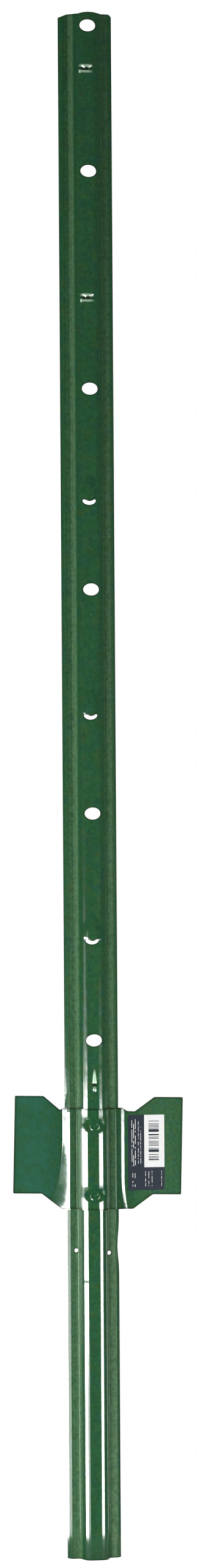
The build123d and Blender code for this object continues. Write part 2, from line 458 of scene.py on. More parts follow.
def rim_group():
    """Mask of the surface near sheared edges, for any width."""
    inputs, outputs = {"Width": 0.001}, {"Mask": "Float"}
    tree, given, result = new_group("Sheared rim", "ShaderNodeTree", inputs, outputs)
    eased = put(tree, "ShaderNodeBevel", {"Radius": given["Width"]}, samples=6)
    flat = tree.nodes.new("ShaderNodeNewGeometry")
    normals = {0: eased.outputs["Normal"], 1: flat.outputs["Normal"]}
    along = put(tree, "ShaderNodeVectorMath", normals, operation="DOT_PRODUCT")
    mask = span(tree, along.outputs["Value"], 0.998, 0.93)
    tree.links.new(mask, result["Mask"])
    return tree


def enamel_group(rim):
    """Patchy green enamel with runs, chips, orange peel and dark sheared edges, with painted
    highlights along the hollow bends and painted sheen on the flanges and wings.
    """
    inputs = dict.fromkeys(("Paint", "Cool", "Warm", "Rim", "Dust"), "Color") | {
        # Share of the painted highlights and painted sheen
        "Dust Share": 1.0,
        "Hollow": 0.0113,
        "Rim Width": 0.0020,
        "Patch Scale": 110.0,
        "Patchiness": 0.7,
    }
    outputs = {"Color": "Color", "Roughness": "Float", "Gloss": "Float", "Height": "Float"}
    tree, given, result = new_group("Patchy enamel", "ShaderNodeTree", inputs, outputs)
    do, times, less, most = arithmetic(tree)
    ramp, mix = partial(span, tree), partial(blend, tree)
    coords = tree.nodes.new("ShaderNodeTexCoord").outputs["Object"]
    parts = split(tree, coords)
    x, z = parts["X"], parts["Z"]

    def clouds(scale, detail, vector=coords):
        texture = {"Vector": vector, "Scale": scale, "Detail": detail, "Roughness": 0.55}
        return put(tree, "ShaderNodeTexNoise", texture).outputs["Fac"]

    def near(value, middle, half, full=None):
        return band(tree, value, middle, half, full or half * 0.3)

    large = clouds(given["Patch Scale"], 3)
    shifted = put(tree, "ShaderNodeVectorMath", {0: coords, 1: (3.1, 5.2, 1.7)}).outputs[0]
    other = clouds(given["Patch Scale"], 4, shifted)
    fine = clouds(420, 5)
    stretch = {0: coords, 1: (160, 160, 9)}
    stretched = put(tree, "ShaderNodeVectorMath", stretch, operation="MULTIPLY").outputs[0]
    runs = clouds(1.0, 3, stretched)

    # Bluish and olive patches, runs and a fine change of shade
    cool = times(ramp(large, 0.46, 0.68), given["Patchiness"])
    warm = times(ramp(other, 0.50, 0.72), given["Patchiness"])
    colour_now = mix(cool, given["Paint"], given["Cool"])
    colour_now = mix(warm, colour_now, given["Warm"])
    shade = times(ramp(fine, 0.3, 0.7, 0.78, 1.22), ramp(runs, 0.3, 0.7, 0.94, 1.06))
    grey = put(tree, "ShaderNodeCombineColor", {0: shade, 1: shade, 2: shade}).outputs[0]
    colour_now = mix(1.0, colour_now, grey, "MULTIPLY")

    # A few small pale chips
    cells = put(tree, "ShaderNodeTexVoronoi", {"Vector": coords, "Scale": 120.0}, feature="F1")
    chip = ramp(cells.outputs["Distance"], 0.07, 0.045)
    chosen = put(tree, "ShaderNodeSeparateColor", {0: cells.outputs["Color"]}).outputs[0]
    chip = times(chip, do("GREATER_THAN", chosen, 0.90))
    colour_now = mix(times(chip, 0.5), colour_now, (0.20, 0.34, 0.22))

    # Painted sheen: the left wing is lighter and bluer than the rest
    left_wing_sheen = times(near(x, -0.045, 0.026), ramp(large, 0.35, 0.65, 0.35, 1.0))
    colour_now = mix(left_wing_sheen, colour_now, (0.030, 0.146, 0.088))

    # Painted highlights along the hollow bends, and painted sheen on the right wing and on the
    # flanges, stronger towards the ground
    low = ramp(z, 1.2, 0.0)
    dust = 0.0
    for middle, half, share in (
        (-0.0124, 0.0024, 0.50),
        (0.0124, 0.0022, 0.25),
        (0.052, 0.030, 0.18),
        (0.0155, 0.0045, ramp(low, 0, 1, 0.14, 0.62)),
        (-0.0155, 0.0045, ramp(low, 0, 1, 0.05, 0.28)),
    ):
        dust = most(dust, times(near(x, middle, half), share))
    dust = times(dust, ramp(fine, 0.3, 0.65, 0.55, 1.2))
    dust = times(dust, given["Dust Share"])
    colour_now = mix(dust, colour_now, given["Dust"])

    # Darker colour near sheared edges
    edge = put(tree, "ShaderNodeGroup", {"Width": given["Rim Width"]}, node_tree=rim)
    dark_rim = times(edge.outputs["Mask"], ramp(fine, 0.25, 0.6, 0.6, 1.0))
    colour_now = mix(dark_rim, colour_now, given["Rim"])

    # The gloss is dull along sheared edges, in the hollows, on the lips, at a nick in the left
    # bright line and where the plate is pressed back
    aside = do("ABSOLUTE", x)
    off_plate = do("GREATER_THAN", do("ABSOLUTE", less(z, 0.3141)), 0.0385)
    masks = [
        dark_rim,
        near(aside, given["Hollow"], 0.0025, 0.0018),
        near(x, 0.0181, 0.0024, 0.0018),
        times(near(x, -0.0183, 0.0022, 0.0016), off_plate),
        times(near(z, 0.2194, 0.0014, 0.0007), near(x, -0.0075, 0.0035)),
    ]
    beside = ramp(aside, 0.0135, 0.0115)
    for height in RIVET_HEIGHTS:
        masks.append(times(near(z, (height + SWAGE_BOW) * MM, 0.0074, 0.0034), beside))
    dull = 0.0
    for mask in masks:
        dull = most(dull, mask)

    tree.links.new(colour_now, result["Color"])
    tree.links.new(ramp(large, 0.3, 0.7, 0.08, 0.13), result["Roughness"])
    tree.links.new(ramp(dull, 0.0, 1.0, 0.5, 0.05), result["Gloss"])
    tree.links.new(do("ADD", times(fine, 0.35), large), result["Height"])
    return tree


def enamel(name, group, finish, **values):
    """Enamel of one piece, from the shared group and the piece's own values."""
    material, tree, shader = new_material(name)
    paint = put(tree, "ShaderNodeGroup", node_tree=group)
    for label in ("Paint", "Cool", "Warm", "Dust", "Rim"):
        paint.inputs[label].default_value = (*getattr(finish, label.lower()), 1)
    for label, value in values.items():
        paint.inputs[label.replace("_", " ")].default_value = value
    relief = {"Height": paint.outputs["Height"], "Strength": 0.35, "Distance": 0.00012}
    bump = put(tree, "ShaderNodeBump", relief)
    tree.links.new(paint.outputs["Color"], shader.inputs["Base Color"])
    tree.links.new(paint.outputs["Roughness"], shader.inputs["Roughness"])
    tree.links.new(bump.outputs["Normal"], shader.inputs["Normal"])
    tree.links.new(paint.outputs["Gloss"], shader.inputs["Specular IOR Level"])
    return material


def lips_group():
    """Masks of the painted highlights on the lips of the shut tabs and of the painted shadow in the
    slits between them.
    """
    inputs, outputs = {"Spread": 0.0022}, {"Pale": "Float", "Dark": "Float"}
    tree, given, result = new_group("Painted lip light and shade", "ShaderNodeTree", inputs, outputs)
    do, times, less, most = arithmetic(tree)
    ramp = partial(span, tree)
    parts = split(tree, tree.nodes.new("ShaderNodeTexCoord").outputs["Object"])
    x, z = parts["X"], parts["Z"]

    def hump(value, middle, half):
        return band(tree, value, middle, half, half * 0.4)

    # Painted highlights: two bars with a knob at their left, above and below each slit, with
    # painted shadow in the slit
    wide = hump(x, (TAB_X - 0.9) * MM, 0.0062)
    pale, dark = 0.0, 0.0
    for height in SHUT_TABS[1:]:
        above = less(less(z, given["Spread"]), height * MM)
        below = less(do("ADD", z, given["Spread"]), height * MM)
        bars = most(hump(above, 0.0, 0.0014), hump(below, 0.0, 0.0012))
        bars = times(bars, times(wide, 0.6))
        knob = times(hump(x, (TAB_X - 5.4) * MM, 0.0014), hump(below, 0.0, 0.0016))
        pale = most(pale, most(bars, knob))
        slit = times(hump(z, height * MM, 0.0013), wide)
        dark = most(dark, slit)

    # Painted highlights, a tapered bar down the hood's crest and a knob, and painted shadow in a
    # gap, on the lowest tab
    lowest = SHUT_TABS[0]
    taper = ramp(z, (lowest + 4.6) * MM, (lowest + 16.0) * MM, 0.0018, 0.0006)
    bar = do("LESS_THAN", do("ABSOLUTE", x), taper)
    bar = times(bar, ramp(z, (lowest + 4.4) * MM, (lowest + 5.0) * MM))
    bar = times(bar, ramp(z, (lowest + 16.0) * MM, (lowest + 11.0) * MM))
    knob = times(hump(x, 0.0, 0.0016), hump(z, lowest * MM, 0.0024))
    bar = most(bar, times(knob, 0.5))
    pale = most(pale, bar)
    gap = times(hump(x, 0.0, 0.0030), hump(z, (lowest + 3.4) * MM, 0.0016))
    dark = most(dark, times(gap, 0.8))

    front = do("LESS_THAN", parts["Y"], (WEB_Y + 0.9) * MM)
    tree.links.new(times(pale, front), result["Pale"])
    tree.links.new(times(dark, front), result["Dark"])
    return tree


def paint_lip_light(material, finish):
    """Adds the painted highlights and painted shadows of the shut tabs' lips to the post's enamel.
    """
    tree = material.node_tree
    shader = tree.nodes["Principled BSDF"]
    colour_now = shader.inputs["Base Color"].links[0].from_socket
    lips = put(tree, "ShaderNodeGroup", node_tree=lips_group())
    # Painted shadow in the slits, then painted highlights on the lips
    colour_now = blend(tree, lips.outputs["Dark"], colour_now, finish.rim)
    colour_now = blend(tree, lips.outputs["Pale"], colour_now, finish.lip_highlight)
    tree.links.new(colour_now, shader.inputs["Base Color"])


def sticker_material(finish, low):
    """Slate sticker with a pale panel, generic bars and broken pale rules."""
    material, tree, shader = new_material("Sticker stock")
    do, times, _, _ = arithmetic(tree)
    mix = partial(blend, tree)
    coords = tree.nodes.new("ShaderNodeTexCoord").outputs["Object"]
    parts = split(tree, coords)
    x, z = parts["X"], parts["Z"]

    def inside(value, start, stop):
        return times(do("GREATER_THAN", value, start), do("LESS_THAN", value, stop))

    def box(left, right, bottom, top):
        wide = inside(x, low.x + left * MM, low.x + right * MM)
        return times(wide, inside(z, low.z + bottom * MM, low.z + top * MM))

    def broken(pitch, share, seed):
        step = do("FLOOR", do("DIVIDE", z, pitch * MM))
        numbered = {"W": do("ADD", step, seed)}
        throw = put(tree, "ShaderNodeTexWhiteNoise", numbered, noise_dimensions="1D")
        return do("LESS_THAN", throw.outputs["Value"], share)

    texture = {"Vector": coords, "Scale": 900.0, "Detail": 3.0}
    grain = put(tree, "ShaderNodeTexNoise", texture).outputs["Fac"]
    shade = span(tree, grain, 0.3, 0.7, 0.97, 1.02)
    grey = put(tree, "ShaderNodeCombineColor", {0: shade, 1: shade, 2: shade}).outputs[0]
    colour_now = mix(box(12.9, 29, 18.0, 59.5), finish.sticker, finish.panel)
    bars = times(box(16.4, 24.6, 23.5, 55.0), broken(0.55, 0.55, 3))
    colour_now = mix(bars, colour_now, finish.sticker)
    for left, width, bottom, top, pitch, seed in RULES:
        rule = times(box(left, left + width, bottom, top), broken(pitch, 0.72, seed))
        colour_now = mix(rule, colour_now, finish.panel)
    colour_now = mix(1.0, colour_now, grey, "MULTIPLY")
    bump = put(tree, "ShaderNodeBump", {"Height": grain, "Strength": 0.2, "Distance": 0.00005})
    shader.inputs["Specular IOR Level"].default_value = 0.12
    tree.links.new(colour_now, shader.inputs["Base Color"])
    tree.links.new(span(tree, grain, 0.3, 0.7, 0.26, 0.34), shader.inputs["Roughness"])
    tree.links.new(bump.outputs["Normal"], shader.inputs["Normal"])
    return material


# Channel


def press_group():
    """Presses a hood out of a sheet above every spot, and a groove along a shut mouth."""
    inputs = {
        "Geometry": "Geometry",
        "Spots": "Object",
        "Width": 0.0128,
        "Height": 0.022,
        "Straight": 0.008,
        "Bulge": 0.00275,
        "Mouth": 0.0029,
        "Sag": 0.0026,
        "Groove": 0.0,
    }
    outputs = {"Geometry": "Geometry"}
    tree, given, result = new_group("Press hoods", "GeometryNodeTree", inputs, outputs)
    do, times, less, most = arithmetic(tree)

    # Place of each point, counted from the nearest spot
    place = tree.nodes.new("GeometryNodeInputPosition").outputs[0]
    marks = put(tree, "GeometryNodeObjectInfo", {"Object": given["Spots"]}).outputs["Geometry"]
    nearest = put(tree, "GeometryNodeProximity", {"Target": marks}, target_element="POINTS")
    ends = {0: place, 1: nearest.outputs["Position"]}
    apart = put(tree, "ShaderNodeVectorMath", ends, operation="SUBTRACT").outputs[0]
    local = split(tree, apart)
    across, up = local["X"], local["Z"]

    # Rise of the hood: an arc across, whose crown falls along an arc above the straight part
    half = times(given["Width"], 0.5)
    bulge = given["Bulge"]
    twice = times(bulge, 2.0)
    bulge_square = times(bulge, bulge)
    round_across = do("DIVIDE", do("ADD", times(half, half), bulge_square), twice)
    climb = less(given["Height"], given["Straight"])
    round_up = do("DIVIDE", do("ADD", times(climb, climb), bulge_square), twice)
    above = do("MINIMUM", most(less(up, given["Straight"]), 0.0), climb)
    fall = less(round_up, do("SQRT", less(times(round_up, round_up), times(above, above))))
    crown = less(round_across, fall)
    chord = less(times(crown, crown), times(across, across))
    rise = most(less(do("SQRT", most(chord, 0.0)), less(round_across, bulge)), 0.0)

    # The hood starts at the smile of its mouth, along which a shut tab has a groove
    reach = times(less(given["Width"], given["Mouth"]), 0.5)
    slope = do("DIVIDE", across, reach)
    smile = times(given["Sag"], times(slope, slope))
    over = less(up, smile)
    lifted = times(rise, span(tree, over, 0.0, 0.001))
    off = do("DIVIDE", over, times(given["Mouth"], 0.5))
    groove = most(less(1.0, times(off, off)), 0.0)
    fade = most(less(1.0, do("POWER", do("ABSOLUTE", slope), 4.0)), 0.0)
    sunk = times(times(groove, given["Groove"]), fade)
    shift = put(tree, "ShaderNodeCombineXYZ", {"Y": less(sunk, lifted)}).outputs[0]
    moved = put(tree, "GeometryNodeSetPosition", {"Geometry": given["Geometry"], "Offset": shift})
    tree.links.new(moved.outputs[0], result["Geometry"])
    return tree


def channel_tree(press):
    """Wire tabs and tie holes of the channel, worked into the rolled strip at their spots."""
    inputs = {"Geometry": "Geometry"}
    inputs |= dict.fromkeys(("Open Tabs", "Shut Tabs", "Ties"), "Object")
    inputs |= CHANNEL_SIZES | {"Paint": "Material"}
    outputs = {"Geometry": "Geometry"}
    tree, given, result = new_group("Tabs and tie holes", "GeometryNodeTree", inputs, outputs)
    do, times, less, _ = arithmetic(tree)
    sheet = given["Geometry"]
    for marks, bulge, groove in (
        ("Open Tabs", "Open Bulge", None),
        ("Shut Tabs", "Shut Bulge", "Slit Depth"),
    ):
        given_here = {
            "Geometry": sheet,
            "Spots": given[marks],
            "Width": given["Tab Width"],
            "Height": given["Tab Height"],
            "Straight": given["Tab Straight"],
            "Bulge": given[bulge],
            "Mouth": given["Mouth Height"],
            "Sag": given["Mouth Sag"],
        }
        if groove:
            given_here["Groove"] = given[groove]
        step = put(tree, "GeometryNodeGroup", given_here, node_tree=press)
        sheet = step.outputs["Geometry"]

    # Oval cutter for the tie holes
    drum = put(tree, "GeometryNodeMeshCylinder", {"Vertices": 64, "Radius": 0.5, "Depth": 0.02})
    sides = {"X": given["Tie Width"], "Y": given["Tie Height"], "Z": 1.0}
    oval = put(tree, "ShaderNodeCombineXYZ", sides).outputs[0]
    shape = {"Geometry": drum.outputs["Mesh"], "Scale": oval}
    sized = put(tree, "GeometryNodeTransform", shape).outputs[0]
    spin = {"Geometry": sized, "Rotation": (math.radians(90), 0, 0)}
    turned = put(tree, "GeometryNodeTransform", spin)

    # Smile-shaped cutter for the open mouths
    reach = times(less(given["Tab Width"], given["Mouth Height"]), 0.5)
    ends = [
        put(tree, "ShaderNodeCombineXYZ", {"X": side, "Z": given["Mouth Sag"]}).outputs[0]
        for side in (times(reach, -1.0), reach)
    ]
    stretch = {"Resolution": 25, "Start": ends[0], "Middle": (0, 0, 0), "End": ends[1]}
    smile = put(tree, "GeometryNodeCurveArc", stretch, mode="POINTS")
    outline = {"Resolution": 20, "Radius": times(given["Mouth Height"], 0.5)}
    ring = put(tree, "GeometryNodeCurvePrimitiveCircle", outline)
    along = tree.nodes.new("GeometryNodeSplineParameter").outputs["Factor"]
    off_middle = do("ABSOLUTE", less(times(along, 2.0), 1.0))
    taper = do("SQRT", less(1.03, do("POWER", off_middle, 5.0)))
    sweep = {
        "Curve": smile.outputs["Curve"],
        "Profile Curve": ring.outputs["Curve"],
        "Scale": taper,
        "Fill Caps": True,
    }
    tube = put(tree, "GeometryNodeCurveToMesh", sweep).outputs["Mesh"]
    deep = put(tree, "GeometryNodeTransform", {"Geometry": tube, "Scale": (1, 7, 1)})

    for cutter, marks in ((turned, "Ties"), (deep, "Open Tabs")):
        points = put(tree, "GeometryNodeObjectInfo", {"Object": given[marks]}).outputs["Geometry"]
        pattern = {"Points": points, "Instance": cutter.outputs[0]}
        copies = put(tree, "GeometryNodeInstanceOnPoints", pattern)
        real = put(tree, "GeometryNodeRealizeInstances", {"Geometry": copies.outputs[0]})
        hollow = put(tree, "GeometryNodeMeshBoolean", operation="DIFFERENCE", solver="EXACT")
        tree.links.new(sheet, hollow.inputs["Mesh 1"])
        tree.links.new(real.outputs[0], hollow.inputs["Mesh 2"])
        sheet = hollow.outputs["Mesh"]
    whole = put(tree, "GeometryNodeRealizeInstances", {"Geometry": sheet})
    coat = {"Geometry": whole.outputs[0], "Material": given["Paint"]}
    painted = put(tree, "GeometryNodeSetMaterial", coat)
    tree.links.new(painted.outputs[0], result["Geometry"])
    return tree


def set_inputs(modifier, values):
    """Sets a node modifier's inputs by the identifiers of their sockets."""
    for item in modifier.node_group.interface.items_tree:
        if item.item_type == "SOCKET" and item.in_out == "INPUT" and item.name in values:
            modifier[item.identifier] = values[item.name]


def strip_levels():
    """Heights of the rows of the channel's mesh, close together at the tabs and swages."""
    margin, step, least = 0.4, 7.0, 0.35
    marks = [0.0, margin, POST_LENGTH - margin, POST_LENGTH]
    marks += [step * k for k in range(1, int(POST_LENGTH / step))]
    for height in OPEN_TABS + SHUT_TABS:
        marks += [height - 3.4 + 0.7 * k for k in range(39)]
    for height in RIVET_HEIGHTS:
        marks += [height - 5.5 + 0.55 * k for k in range(26)]
    for height in TIE_HEIGHTS:
        marks += [height - 5.6, height + 5.6]
    marks.sort()
    levels = [marks[0]]
    for mark in marks[1:]:
        if mark - levels[-1] > least:
            levels.append(mark)
    levels[-1] = POST_LENGTH
    return levels


def top_edge(x):
    """Height of the post's upper end at a distance from its middle."""
    x = min(max(x, -LIP_HALF), LIP_HALF)
    for (left, left_drop), (right, right_drop) in zip(TOP_CUT, TOP_CUT[1:]):
        if x <= right:
            share = (x - left) / (right - left)
            return POST_LENGTH - left_drop - (right_drop - left_drop) * share
    return POST_LENGTH - TOP_CUT[-1][1]


def crease(x, z):
    """Height of the crease down the lowest tab and of the knob below its end, in millimetres."""
    start, run, ridge = SHUT_TABS[0] + 4.6, 14.0, 0.0
    if start < z < start + run:
        share = (z - start) / run
        ridge = 0.6 * (1 - share) * bump_at(x, 0, 1.9 - share)
    knob = (x / 1.4) ** 2 + ((z - SHUT_TABS[0]) / 2.3) ** 2
    return max(ridge, 0.5 * smooth_step(1 - knob))


def rolled_strip(channel):
    """Rolled strip of the channel, with its slight waves, dent and swages, before it is pierced."""
    foot_y = WEB_Y + CHANNEL_DEPTH
    lip_y = foot_y + LIP_DEPTH
    corners = [
        (-LIP_HALF, lip_y),
        (-LIP_BEND_HALF, foot_y),
        (-FOOT_HALF, foot_y),
        (-WEB_HALF, WEB_Y),
        (WEB_HALF, WEB_Y),
        (FOOT_HALF, foot_y),
        (LIP_BEND_HALF, foot_y),
        (LIP_HALF, lip_y),
    ]
    sizes = (channel.web_bend, channel.far_bend, channel.foot_bend, channel.lip_bend)
    web, far, foot, lip = (size / MM for size in sizes)
    stations = fold_line(corners, [lip, foot, web, far, foot, lip], [2, 2, 3, 17, 3, 2, 2])
    trim_start = 1214.5
    dent_height, dent_reach, dent_depth = 246, 20, 1.3
    front, rear = [], []
    for level in strip_levels():
        front_row, rear_row = [], []
        for number, (point, normal) in enumerate(stations):
            at_end = number in (0, len(stations) - 1)
            ease = 0.25 if at_end else 0.0
            trimmed = max(0.0, (level - trim_start) / (POST_LENGTH - trim_start))
            z = level + (top_edge(point.x) - POST_LENGTH) * trimmed
            wave = noise.noise((point.x * 0.05, 3.0, level * 0.012)) * 0.05
            wave += noise.noise((point.x * 0.12, 9.0, level * 0.05)) * 0.015
            dent = bump_at(level, dent_height, dent_reach) * smooth_step((point.x - 12) / 8)
            for row, depth in ((front_row, ease), (rear_row, STEEL - ease)):
                spot = point - normal * (depth + wave - crease(point.x, level))
                x = spot.x - dent_depth * dent
                base = WEB_Y + (0 if row is front_row else STEEL)
                row.append(Vector((x, min(swage(x, spot.y, z, base), BACK_Y), z)))
        front.append(front_row)
        rear.append(rear_row)
    return shell("Strip", front, rear)


class FENCEPOST_OT_post(bpy.types.Operator):
    """Make the channel with its tabs, tie holes and pin holes"""

    bl_idname = "fencepost.post"
    bl_label = "Post"

    def execute(self, context):
        channel = context.scene.fence_post_channel
        finish = context.scene.fence_post_finish
        strip = rolled_strip(channel)
        marks = {
            "Open Tabs": solid("Open tab spots", [(TAB_X, WEB_Y, z - 0.6) for z in OPEN_TABS], []),
            "Shut Tabs": solid("Shut tab spots", [(TAB_X, WEB_Y, z) for z in SHUT_TABS[1:]], []),
            "Ties": solid("Tie spots", [(0, WEB_Y, z) for z in TIE_HEIGHTS], []),
        }
        paint = enamel("Post enamel", enamel_group(rim_group()), finish, Patchiness=0.75)
        paint_lip_light(paint, finish)
        modifier = strip.modifiers.new("Tabs and tie holes", "NODES")
        modifier.node_group = channel_tree(press_group())
        sizes = {
            label: getattr(channel, label.lower().replace(" ", "_")) for label in CHANNEL_SIZES
        }
        set_inputs(modifier, {**marks, **sizes, "Paint": paint})
        turns = [math.tau * k / 24 for k in range(24)]
        pins = []
        for x, z in ((-13.4, 243.3), (12.6, 240.9)):
            ring = [(x + 1.65 * math.cos(turn), z + 1.65 * math.sin(turn)) for turn in turns]
            pins.append(prism("Pin hole", ring, WEB_Y + 8, WEB_Y + 17))
            cut(strip, pins[-1], "DIFFERENCE")
        piece = finish_piece(strip, "post_channel", paint)
        for helper in (*marks.values(), *pins):
            bpy.data.objects.remove(helper)
        settle(piece, "post_paint", "post")
        return {"FINISHED"}


# Anchor plate


def plate_outline():
    """Outline of the plate's blank, anticlockwise from its lower left, with rounded corners."""
    low, high, step = -38.5, 38.5, 11.6
    wing, neck, body = 67, 44.3, 28.8
    corners = [
        (-wing, low + step),
        (-neck, low + step),
        (-body, low),
        (body, low),
        (neck, low + step),
        (wing, low + step),
        (wing, high + step),
        (neck, high + step),
        (body, high),
        (22.4, high + 0.3),
        (18.6, high + 3.0),
        (-27.6, high + 2.6),
        (-31.0, high + 0.6),
        (-neck, high + step),
        (-wing, high + step),
    ]
    skew = math.radians(-1.4)
    cos, sin = math.cos(skew), math.sin(skew)
    placed = [Vector((4.9 + x * cos - y * sin, 314.1 + x * sin + y * cos)) for x, y in corners]
    outline = []
    count = len(placed)
    for i, corner in enumerate(placed):
        before, after = placed[i - 1], placed[(i + 1) % count]
        reach = min(1.0, (before - corner).length / 3, (after - corner).length / 3)
        start = corner + (before - corner).normalized() * reach
        stop = corner + (after - corner).normalized() * reach
        for k in range(5):
            t = k / 4
            outline.append((1 - t) ** 2 * start + 2 * t * (1 - t) * corner + t**2 * stop)
    return outline


def pressed_plate(plate):
    """Folded sheet of the plate before it is trimmed to its outline."""
    foot_y = WEB_Y + CHANNEL_DEPTH
    seat_y = WEB_Y + WING_SEAT
    seat_half = LIP_BEND_HALF + (LIP_HALF - LIP_BEND_HALF) * (WING_SEAT - CHANNEL_DEPTH) / LIP_DEPTH
    left_start, right_start = 332.4, 300
    front, rear = [], []
    levels = [268 + 0.8 * k for k in range(130)]
    for z in levels:
        left_share = max(0.0, (left_start - z) / (left_start - PLATE_BOTTOM))
        right_share = max(0.0, (right_start - z) / (right_start - PLATE_BOTTOM))
        left = plate.flare_left / MM * left_share**2
        right = plate.flare_right / MM * right_share**1.5
        corners = [
            (-66.5, seat_y),
            (-seat_half - left, seat_y),
            (-LIP_BEND_HALF, foot_y),
            (-FOOT_HALF, foot_y),
            (-WEB_HALF, WEB_Y),
            (WEB_HALF, WEB_Y),
            (FOOT_HALF, foot_y),
            (LIP_BEND_HALF, foot_y),
            (seat_half + right, seat_y),
            (76.5, seat_y),
        ]
        radii = [3.0, 0.9, 2.2, 5.0, 8.0, 2.2, 0.9, 9.0]
        stations = fold_line(corners, radii, [14, 2, 1, 2, 9, 2, 1, 2, 14])
        front_row, rear_row = [], []
        for point, normal in stations:
            wave = noise.noise((point.x * 0.04, 5.0, z * 0.035)) * 0.05
            for row, offset in ((front_row, PLATE_GAP + STEEL), (rear_row, PLATE_GAP)):
                spot = point + normal * (offset - wave)
                y = swage(spot.x, spot.y, z, WEB_Y - offset)
                row.append(Vector((spot.x, min(y, BACK_Y), z)))
        front.append(front_row)
        rear.append(rear_row)
    return shell("Pressed plate", front, rear)


def lathe(name, profile):
    """A closed turned form on the axis across the web, from (radius, depth) pairs."""
    steps = 48
    turns = [math.tau * k / steps for k in range(steps)]
    bm = bmesh.new()
    rings = []
    for radius, y in profile:
        ring = [(radius * math.cos(turn), y, radius * math.sin(turn)) for turn in turns]
        if radius == 0:
            ring = ring[:1]
        rings.append([bm.verts.new(Vector(point) * MM) for point in ring])
    for a, b in zip(rings, rings[1:]):
        for k in range(steps):
            n = (k + 1) % steps
            if len(a) == 1:
                bm.faces.new((a[0], b[k], b[n]))
            elif len(b) == 1:
                bm.faces.new((a[n], a[k], b[0]))
            else:
                bm.faces.new((a[k], b[k], b[n], a[n]))
    bmesh.ops.recalc_face_normals(bm, faces=bm.faces)
    return from_bmesh(name, bm)


def rivet_tree():
    """Copies of one rivet at the spots."""
    inputs = {"Geometry": "Geometry", "Rivet": "Object", "Width": 1.0, "Paint": "Material"}
    outputs = {"Geometry": "Geometry"}
    tree, given, result = new_group("Rivets at spots", "GeometryNodeTree", inputs, outputs)
    rivet = put(tree, "GeometryNodeObjectInfo", {"Object": given["Rivet"]}).outputs["Geometry"]
    sides = {"X": given["Width"], "Y": 1.0, "Z": given["Width"]}
    scale = put(tree, "ShaderNodeCombineXYZ", sides).outputs[0]
    pattern = {"Points": given["Geometry"], "Instance": rivet, "Scale": scale}
    copies = put(tree, "GeometryNodeInstanceOnPoints", pattern)
    real = put(tree, "GeometryNodeRealizeInstances", {"Geometry": copies.outputs[0]})
    coat = {"Geometry": real.outputs[0], "Material": given["Paint"]}
    painted = put(tree, "GeometryNodeSetMaterial", coat)
    tree.links.new(painted.outputs[0], result["Geometry"])
    return tree


class FENCEPOST_OT_plate(bpy.types.Operator):
    """Make the winged anchor plate"""

    bl_idname = "fencepost.plate"
    bl_label = "Anchor plate"

    def execute(self, context):
        plate = context.scene.fence_post_plate
        finish = context.scene.fence_post_finish
        group = bpy.data.node_groups["Patchy enamel"]
        paint = enamel(
            "Plate enamel",
            group,
            finish,
            Patch_Scale=170.0,
            Patchiness=0.9,
            Dust_Share=0.55,
            Rim_Width=0.0028,
            Hollow=0.0129,
        )
        sheet = pressed_plate(plate)
        blank = prism("Blank", plate_outline(), -30, 30)
        cut(sheet, blank, "INTERSECT")
        piece = finish_piece(sheet, "plate_sheet", paint)
        bpy.data.objects.remove(blank)
        settle(piece, "plate_paint", "anchor_plate")
        return {"FINISHED"}


class FENCEPOST_OT_rivets(bpy.types.Operator):
    """Make the two rivets that hold the plate"""

    bl_idname = "fencepost.rivets"
    bl_label = "Rivets"

    def execute(self, context):
        plate = context.scene.fence_post_plate
        finish = context.scene.fence_post_finish
        group = bpy.data.node_groups["Patchy enamel"]
        paint = enamel(
            "Rivet enamel", group, finish, Patch_Scale=300.0, Dust_Share=0.0, Rim_Width=0.0004
        )
        face, drawn_width = -9.9, 9.0
        profile = [
            (0, face + 0.45),
            (1.9, face + 0.4),
            (2.3, face + 0.05),
            (3.0, face),
            (3.9, face + 0.12),
            (4.4, face + 0.5),
            (4.5, -8.3),
            (2.5, -8.0),
            (2.5, -5.4),
            (3.8, -5.3),
            (3.8, -4.9),
            (3.3, -4.6),
            (0, -4.6),
        ]
        rivet = lathe("Rivet", profile)
        holder = solid("Rivet spots", [(0, 0, z) for z in RIVET_HEIGHTS], [])
        modifier = holder.modifiers.new("Rivets", "NODES")
        modifier.node_group = rivet_tree()
        width = plate.head_width / MM / drawn_width
        set_inputs(modifier, {"Rivet": rivet, "Width": width, "Paint": paint})
        piece = finish_piece(holder, "rivet_pair", paint)
        bpy.data.objects.remove(rivet)
        settle(piece, "rivet_paint", "upper_rivet", "lower_rivet")
        return {"FINISHED"}


class FENCEPOST_OT_sticker(bpy.types.Operator):
    """Print the sticker on the right wing"""

    bl_idname = "fencepost.sticker"
    bl_label = "Sticker"

    def execute(self, context):
        low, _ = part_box("label")
        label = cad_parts["label"]
        if not label.material_slots:
            raise RuntimeError("The sticker has no slot for its material")
        material = sticker_material(context.scene.fence_post_finish, low)
        for slot in label.material_slots:
            slot.material = material
        return {"FINISHED"}


# Studio


def area_lamp(name, place, width, height, power, glossy=True, diffuse=True):
    """Lamp that faces the post at its own height."""
    lamp = bpy.data.lights.new(name, "AREA")
    lamp.shape = "RECTANGLE"
    lamp.size = width
    lamp.size_y = height
    lamp.energy = power
    holder = link(name, lamp)
    holder.location = place
    way = Vector((0, 0, place[2])) - Vector(place)
    holder.rotation_euler = way.to_track_quat("-Z", "Y").to_euler()
    holder.visible_glossy = glossy
    holder.visible_diffuse = diffuse


def soft_box(name, azimuths, heights, radiance):
    """Lamp between two azimuths left of the front and two heights, which only the gloss shows."""
    distance = 1.5
    ends = [
        Vector((-math.sin(math.radians(turn)), -math.cos(math.radians(turn)), 0)) * distance
        for turn in azimuths
    ]
    middle = (ends[0] + ends[1]) / 2
    low, high = heights
    place = middle + Vector((0, 0, (low + high) / 2))
    width = (ends[1] - ends[0]).length
    power = radiance * math.pi * width * (high - low)
    area_lamp(name, place, width, high - low, power, diffuse=False)


